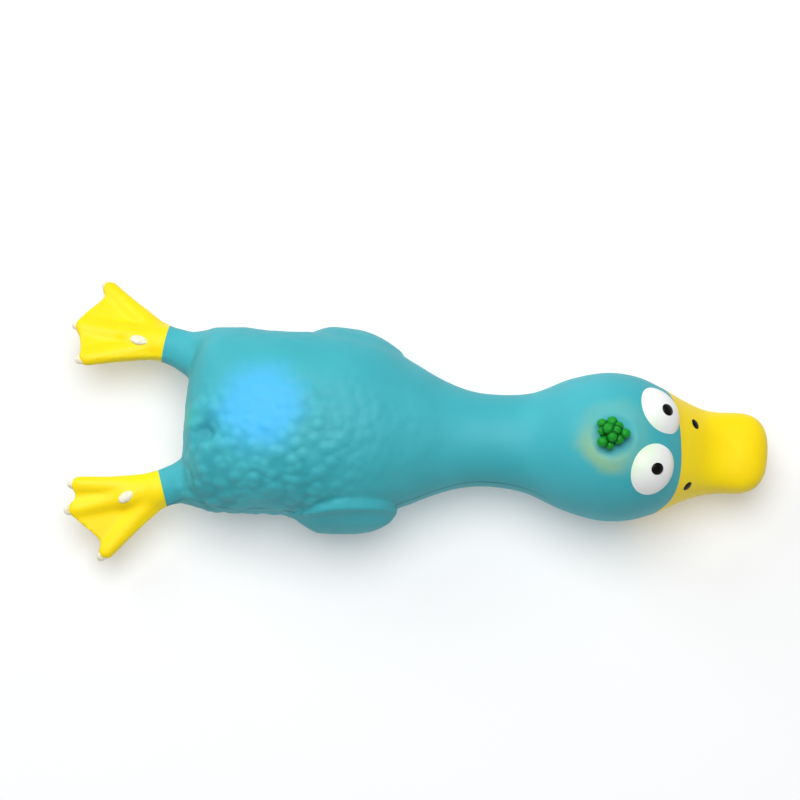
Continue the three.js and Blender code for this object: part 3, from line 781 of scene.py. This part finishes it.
class Material:
    """A Principled material with short ways to add the procedural nodes that feed it."""

    def __init__(self, name, rough, specular=0.5, **sockets):
        self.made = bpy.data.materials.new(name)
        self.made.use_nodes = True
        self.tree = self.made.node_tree
        self.shader = self.tree.nodes["Principled BSDF"]
        self.shader.inputs["Roughness"].default_value = rough
        self.shader.inputs["Specular IOR Level"].default_value = specular
        for socket, value in sockets.items():
            self.shader.inputs[socket.replace("_", " ")].default_value = value
        self.rest = self.add("ShaderNodeAttribute", attribute_name="rest").outputs["Vector"]

    def add(self, kind, inputs=None, **settings):
        node = self.tree.nodes.new(kind)
        for key, value in settings.items():
            setattr(node, key, value)
        for key, value in (inputs or {}).items():
            self.feed(node.inputs[key], value)
        return node

    def feed(self, socket, value):
        if isinstance(value, bpy.types.NodeSocket):
            self.tree.links.new(value, socket)
        else:
            socket.default_value = value

    def math(self, operation, *values):
        return self.add("ShaderNodeMath", dict(enumerate(values)), operation=operation).outputs[0]

    def ramp(self, value, low, high):
        """Smoothly from 0 at low to 1 at high, or the other way round where low is the larger."""
        flipped = low > high
        node = self.add(
            "ShaderNodeMapRange",
            {"Value": value, "From Min": min(low, high), "From Max": max(low, high)},
            interpolation_type="SMOOTHSTEP",
        )
        node.inputs["To Min"].default_value = 1.0 if flipped else 0.0
        node.inputs["To Max"].default_value = 0.0 if flipped else 1.0
        return node.outputs["Result"]

    def mix(self, share, a, b, blend="MIX"):
        node = self.add("ShaderNodeMix", data_type="RGBA", blend_type=blend)
        self.feed(node.inputs["Factor"], share)
        self.feed(node.inputs[6], a)
        self.feed(node.inputs[7], b)
        return node.outputs[2]

    def noise(self, scale, detail=2.0, rough=0.5):
        node = self.add(
            "ShaderNodeTexNoise",
            {"Vector": self.rest, "Scale": scale, "Detail": detail, "Roughness": rough},
        )
        return node.outputs["Fac"]

    def distance(self, point, squash=(1, 1, 1)):
        """How far each point is from a point given in millimetres, in millimetres."""

        def vector(operation, *values):
            return self.add("ShaderNodeVectorMath", dict(enumerate(values)), operation=operation)

        away = vector("SUBTRACT", self.rest, [v * MM for v in point]).outputs[0]
        scaled = vector("MULTIPLY", away, [s / MM for s in squash]).outputs[0]
        return vector("LENGTH", scaled).outputs["Value"]

    def forward(self):
        """How far forward each point is, in millimetres."""
        x = self.add("ShaderNodeSeparateXYZ", {0: self.rest}).outputs["X"]
        return self.math("DIVIDE", x, MM)

    def attribute(self, name):
        return self.add("ShaderNodeAttribute", attribute_name=name).outputs["Fac"]

    def paint(self, colour):
        self.feed(self.shader.inputs["Base Color"], colour)

    def uneven_gloss(self, rough, spread, scale=90.0):
        value = self.math("MULTIPLY_ADD", self.noise(scale, 4.0), 2 * spread, rough - spread)
        self.tree.links.new(value, self.shader.inputs["Roughness"])

    def bump(self, height, strength, distance):
        node = self.add("ShaderNodeBump", {"Strength": strength, "Distance": distance * MM, "Height": height})
        self.tree.links.new(node.outputs["Normal"], self.shader.inputs["Normal"])


def soft_rubber(name, rough=0.52):
    """Latex: a satin skin that lets a little light through."""
    made = Material(name, rough, specular=0.22, Subsurface_Weight=0.12, Subsurface_Scale=0.0012)
    made.shader.inputs["Subsurface Radius"].default_value = (0.6, 0.8, 1.0)
    return made


def tone(made, colour, amount=0.05):
    """The colour with slow and fine variation in brightness."""
    swirl = made.math("MULTIPLY", made.math("SUBTRACT", made.noise(55.0, 3.0), 0.5), 2 * amount)
    speck = made.math("MULTIPLY", made.math("SUBTRACT", made.noise(1400.0, 2.0), 0.5), amount)
    level = made.math("ADD", made.math("ADD", swirl, speck), 1.0)
    grey = made.add("ShaderNodeCombineColor", {0: level, 1: level, 2: level}).outputs[0]
    return made.mix(1.0, colour, grey, blend="MULTIPLY")


def pores(made, strength=0.35):
    fine = made.noise(2600.0, 3.0, 0.6)
    coarse = made.noise(420.0, 2.0)
    made.bump(made.math("ADD", fine, made.math("MULTIPLY", coarse, 1.4)), strength, 0.05)


# The middles of the airbrushed patches, and of the painted shade in the dent beside the tail.
AIRBRUSH_AND_SHADE = {
    "blue": (-32.8, -0.8, 49),
    "halo": (86.5, -2.0, 47),
    "low_side": (81, -11, 46),
    "tail": (-58, -4, 41),
    "dent": (*DENT["centre"], 41.5),
}


def teal_skin():
    made = soft_rubber("latex_teal")
    colour = made.mix(made.ramp(made.noise(28.0, 2.0), 0.3, 0.7), linear(64, 172, 183), linear(70, 179, 190))
    # painted shade: the teal is darker in the creases between the skin's lumps
    crease_shade = made.ramp(made.attribute("relief"), 0.3, 0.9)
    colour = made.mix(made.math("MULTIPLY", crease_shade, 0.4), colour, linear(30, 138, 150))
    wander = made.math("MULTIPLY", made.math("SUBTRACT", made.noise(110.0, 3.0), 0.5), 9.0)
    blue = made.math("ADD", made.distance(AIRBRUSH_AND_SHADE["blue"], (1.0, 1.0, 0.5)), wander)
    colour = made.mix(made.ramp(blue, 21.0, 4.5), colour, linear(74, 186, 240))
    from_halo = made.distance(AIRBRUSH_AND_SHADE["halo"], (1.0, 1.0, 0.4))
    halo = made.math("ADD", from_halo, made.math("MULTIPLY", wander, 0.6))
    spray = made.math("MULTIPLY", made.ramp(halo, 15.0, 10.0), made.ramp(halo, 5.0, 9.5))
    near_low_side = made.ramp(made.distance(AIRBRUSH_AND_SHADE["low_side"]), 17.0, 3.0)
    low_side = made.math("MULTIPLY_ADD", near_low_side, 0.42, 0.12)
    colour = made.mix(made.math("MULTIPLY", spray, low_side), colour, linear(165, 190, 110))
    tail = made.math("MULTIPLY", made.ramp(made.distance(AIRBRUSH_AND_SHADE["tail"], (1.6, 1, 0.6)), 7.0, 2.0), 0.3)
    colour = made.mix(tail, colour, linear(70, 205, 150))
    # painted shade: the teal is darker in the small hollow on the rump beside the tail
    dent_shade = made.math("MULTIPLY", made.ramp(made.distance(AIRBRUSH_AND_SHADE["dent"]), 5.5, 1.0), 0.45)
    colour = made.mix(dent_shade, colour, linear(24, 112, 136))
    # painted shadow and grime: a broken dark line along the parting line, standing for the shadow under the
    # mould's flash and the grime in it, fading out along the neck
    apart = made.math("ABSOLUTE", made.attribute("parting"))
    faint = made.math("MULTIPLY", made.ramp(made.noise(70.0, 1.0), 0.3, 0.55), 0.65)
    faint = made.math("MULTIPLY", made.ramp(made.forward(), 78.0, 48.0), made.math("ADD", faint, 0.35))
    seam_shadow_and_grime = made.math("MULTIPLY", made.ramp(apart, 0.38, 0.12), faint)
    colour = made.mix(made.math("MULTIPLY", seam_shadow_and_grime, 0.75), colour, linear(16, 70, 78))
    made.paint(tone(made, colour))
    made.uneven_gloss(0.52, 0.05)
    pores(made)
    return made.made


def yellow_skin():
    made = soft_rubber("latex_yellow", 0.42)
    warm = made.ramp(made.noise(60.0, 3.0), 0.35, 0.7)
    colour = made.mix(made.math("MULTIPLY", warm, 0.5), linear(255, 225, 20), linear(252, 214, 12))
    made.paint(tone(made, colour, 0.03))
    made.uneven_gloss(0.42, 0.06)
    pores(made, 0.28)
    return made.made


def white_paint():
    made = Material("paint_white", 0.34, Subsurface_Weight=0.06, Subsurface_Scale=0.003)
    halo = made.math("ADD", made.distance(AIRBRUSH_AND_SHADE["halo"], (1.0, 1.0, 0.4)), made.noise(160.0, 3.0))
    overspray = made.math("MULTIPLY", made.ramp(halo, 20.0, 10.0), 0.7)
    colour = made.mix(overspray, linear(246, 247, 246), linear(200, 238, 182))
    made.paint(tone(made, colour, 0.015))
    made.uneven_gloss(0.34, 0.06, 140.0)
    pores(made, 0.15)
    return made.made


def ivory_paint():
    made = Material("paint_ivory", 0.45, specular=0.35, Subsurface_Weight=0.06, Subsurface_Scale=0.002)
    worn = made.ramp(made.noise(700.0, 3.0), 0.45, 0.7)
    made.paint(tone(made, made.mix(worn, linear(240, 236, 214), linear(222, 214, 178)), 0.04))
    made.uneven_gloss(0.45, 0.06, 300.0)
    pores(made, 0.25)
    return made.made


def black_paint():
    made = Material("paint_black", 0.3, specular=0.2)
    thin = made.ramp(made.noise(900.0, 4.0), 0.55, 0.75)
    made.paint(made.mix(made.math("MULTIPLY", thin, 0.25), linear(13, 14, 13), linear(44, 44, 40)))
    made.uneven_gloss(0.3, 0.08, 300.0)
    pores(made, 0.2)
    return made.made


def green_skin():
    made = soft_rubber("latex_green", 0.4)
    # painted shade: the green is darker in the creases between the knobs and lighter on their tops
    colour = made.mix(made.attribute("relief"), linear(2, 80, 18), linear(16, 150, 38))
    made.paint(tone(made, colour, 0.12))
    made.uneven_gloss(0.4, 0.08, 400.0)
    pores(made, 0.5)
    return made.made


def plastic():
    made = Material("squeaker_plastic", 0.3, Subsurface_Weight=0.1, Subsurface_Scale=0.002)
    made.rest = made.add("ShaderNodeTexCoord").outputs["Object"]
    made.paint(tone(made, linear(232, 234, 231), 0.02))
    made.uneven_gloss(0.3, 0.06, 200.0)
    made.bump(made.noise(900.0, 3.0), 0.15, 0.03)
    return made.made


def film():
    made = Material("reed_film", 0.16, Transmission_Weight=0.35, IOR=1.5)
    made.rest = made.add("ShaderNodeTexCoord").outputs["Object"]
    made.paint(tone(made, linear(200, 210, 216), 0.03))
    made.uneven_gloss(0.16, 0.05, 500.0)
    made.bump(made.noise(700.0, 2.0), 0.1, 0.02)
    return made.made


def floor_surface():
    made = Material("floor_paper", 0.75, specular=0.2, Emission_Strength=0.3)
    made.rest = made.add("ShaderNodeTexCoord").outputs["Object"]
    made.paint(tone(made, linear(205, 206, 207), 0.004))
    return made.made


def dress(obj, material):
    obj.data.materials.clear()
    obj.data.materials.append(material)
    return obj


# ---------------------------------------------------------------------------------------------------------
# The object
# ---------------------------------------------------------------------------------------------------------

TEAL, YELLOW, GREEN = teal_skin(), yellow_skin(), green_skin()
WHITE, IVORY, BLACK = white_paint(), ivory_paint(), black_paint()
SKINS = {"latex_teal": TEAL, "latex_yellow": YELLOW}


def make_casting():
    surfaces = make_surfaces()
    rear, front = NECK_REAR_X - NECK_BEND, NECK_FRONT_X + NECK_BEND

    def skin(name, slot_name, planes, *nodes):
        piece = dress(zone(name, planes, *surfaces), SKINS[slot_name])
        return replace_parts(piece, *nodes)

    body = [plane_ahead(RUMP_FACE_X), plane_behind(rear)]
    lower, upper = ((0, 0, BACK_Z), (0, 0, -1)), ((0, 0, BACK_Z), (0, 0, 1))
    trunk = skin("skin_trunk", "latex_teal", [*body, lower], "trunk_skin", "left_wing", "right_wing")
    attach(trunk, "trunk")

    back = skin("skin_back", "latex_teal", [*body, upper], "back_skin")
    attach(back, "trunk")
    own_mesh(back)

    rear_planes = [plane_ahead(rear), plane_behind(NECK_MIDDLE_X)]
    neck_rear = skin("skin_neck_rear", "latex_teal", rear_planes, "neck_skin")
    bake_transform(neck_rear)
    front_planes = [plane_ahead(NECK_MIDDLE_X), plane_behind(front)]
    neck_front = skin("skin_neck_front", "latex_teal", front_planes, "neck_skin")
    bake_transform(neck_front)

    head = skin("skin_head", "latex_teal", [plane_ahead(front), bill_plane(-1)], "head_skin")
    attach(head, "head")
    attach(skin("bill_skin", "latex_yellow", [bill_plane(1)], "bill"), "head")

    for name in SIDES:
        leg = [plane_behind(RUMP_FACE_X), side_plane(name)]
        above, below = [*leg, ankle_plane(name, -1)], [*leg, ankle_plane(name, 1)]
        stub = skin(f"skin_{name}_leg", "latex_teal", above, f"{name}_leg_skin")
        foot = skin(f"{name}_foot_skin", "latex_yellow", below, f"{name}_foot")
        for piece in (stub, foot):
            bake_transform(piece)


def make_details():
    for name in SIDES:
        eye, pupil = make_eye(name)
        nostril = make_nostril(name)
        for piece, material, slot_name, node in (
            (eye, WHITE, "paint_white", f"{name}_eye"),
            (pupil, BLACK, "paint_black", f"{name}_pupil"),
            (nostril, BLACK, "paint_black", f"{name}_nostril"),
        ):
            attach(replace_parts(dress(piece, material), node), "head")
        for toe in TOES[name]:
            nail = dress(make_claw(name, toe), IVORY)
            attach(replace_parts(nail, f"{name}_{toe}_claw"), f"{name}_leg")
        spur = dress(make_spur(name), IVORY)
        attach(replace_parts(spur, f"{name}_spur"), f"{name}_leg")
    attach(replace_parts(dress(make_crest(), GREEN), "crest"), "head")


def dress_squeaker():
    shiny, clear = plastic(), film()
    for node in ("squeaker_cup", "squeaker_lid", "reed_holder_front", "reed_holder_rear"):
        dress(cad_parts[node], shiny)
    dress(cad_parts["reed"], clear)


# ---------------------------------------------------------------------------------------------------------
# Floor, light and camera
# ---------------------------------------------------------------------------------------------------------


def make_floor():
    mesh = bpy.data.meshes.new("floor")
    reach = 40.0
    corners = [(-reach, -reach), (reach, -reach), (reach, reach), (-reach, reach)]
    mesh.from_pydata([(x, y, -0.0002) for x, y in corners], [], [(0, 1, 2, 3)])
    floor = bpy.data.objects.new("floor", mesh)
    bpy.context.scene.collection.objects.link(floor)
    dress(floor, floor_surface())


def make_light(name, position, size, power):
    light = bpy.data.lights.new(name, "AREA")
    light.shape = "DISK"
    light.size = size
    light.energy = power
    obj = bpy.data.objects.new(name, light)
    bpy.context.scene.collection.objects.link(obj)
    obj.location = position
    obj.rotation_mode = "QUATERNION"
    obj.rotation_quaternion = (-Vector(position)).to_track_quat("-Z", "Y")


def make_camera():
    """Almost overhead, turned a little so that the duck's head dips to the right."""
    elevation, roll = math.radians(76), math.radians(4)
    target = Vector((13.9, 10.6, 25)) * MM
    distance, frame_width = 1.1, 0.2754
    back = Vector((0, -math.cos(elevation), math.sin(elevation)))
    up = Vector((0, math.sin(elevation), math.cos(elevation)))
    right = Vector((1, 0, 0)) * math.cos(roll) + up * math.sin(roll)
    turned_up = back.cross(right)
    camera = bpy.data.cameras.new("camera")
    camera.sensor_width = 36
    camera.lens = camera.sensor_width * distance / frame_width
    obj = bpy.data.objects.new("camera", camera)
    bpy.context.scene.collection.objects.link(obj)
    turn = Matrix((right, turned_up, back)).transposed().to_4x4()
    obj.matrix_world = Matrix.Translation(target + back * distance) @ turn
    bpy.context.scene.camera = obj


def make_surroundings():
    world = bpy.data.worlds.new("studio")
    world.use_nodes = True
    background = world.node_tree.nodes["Background"]
    background.inputs["Color"].default_value = (0.94, 0.97, 1.0, 1)
    background.inputs["Strength"].default_value = 0.11
    bpy.context.scene.world = world
    make_light("softbox", (-0.05, 0.2, 1.4), 1.3, 22)
    make_light("window", (-0.95, 0.8, 0.9), 0.9, 6)
    view = bpy.context.scene.view_settings
    view.view_transform = "Standard"
    view.look = "None"


make_casting()
make_details()
dress_squeaker()
make_floor()
make_surroundings()
make_camera()
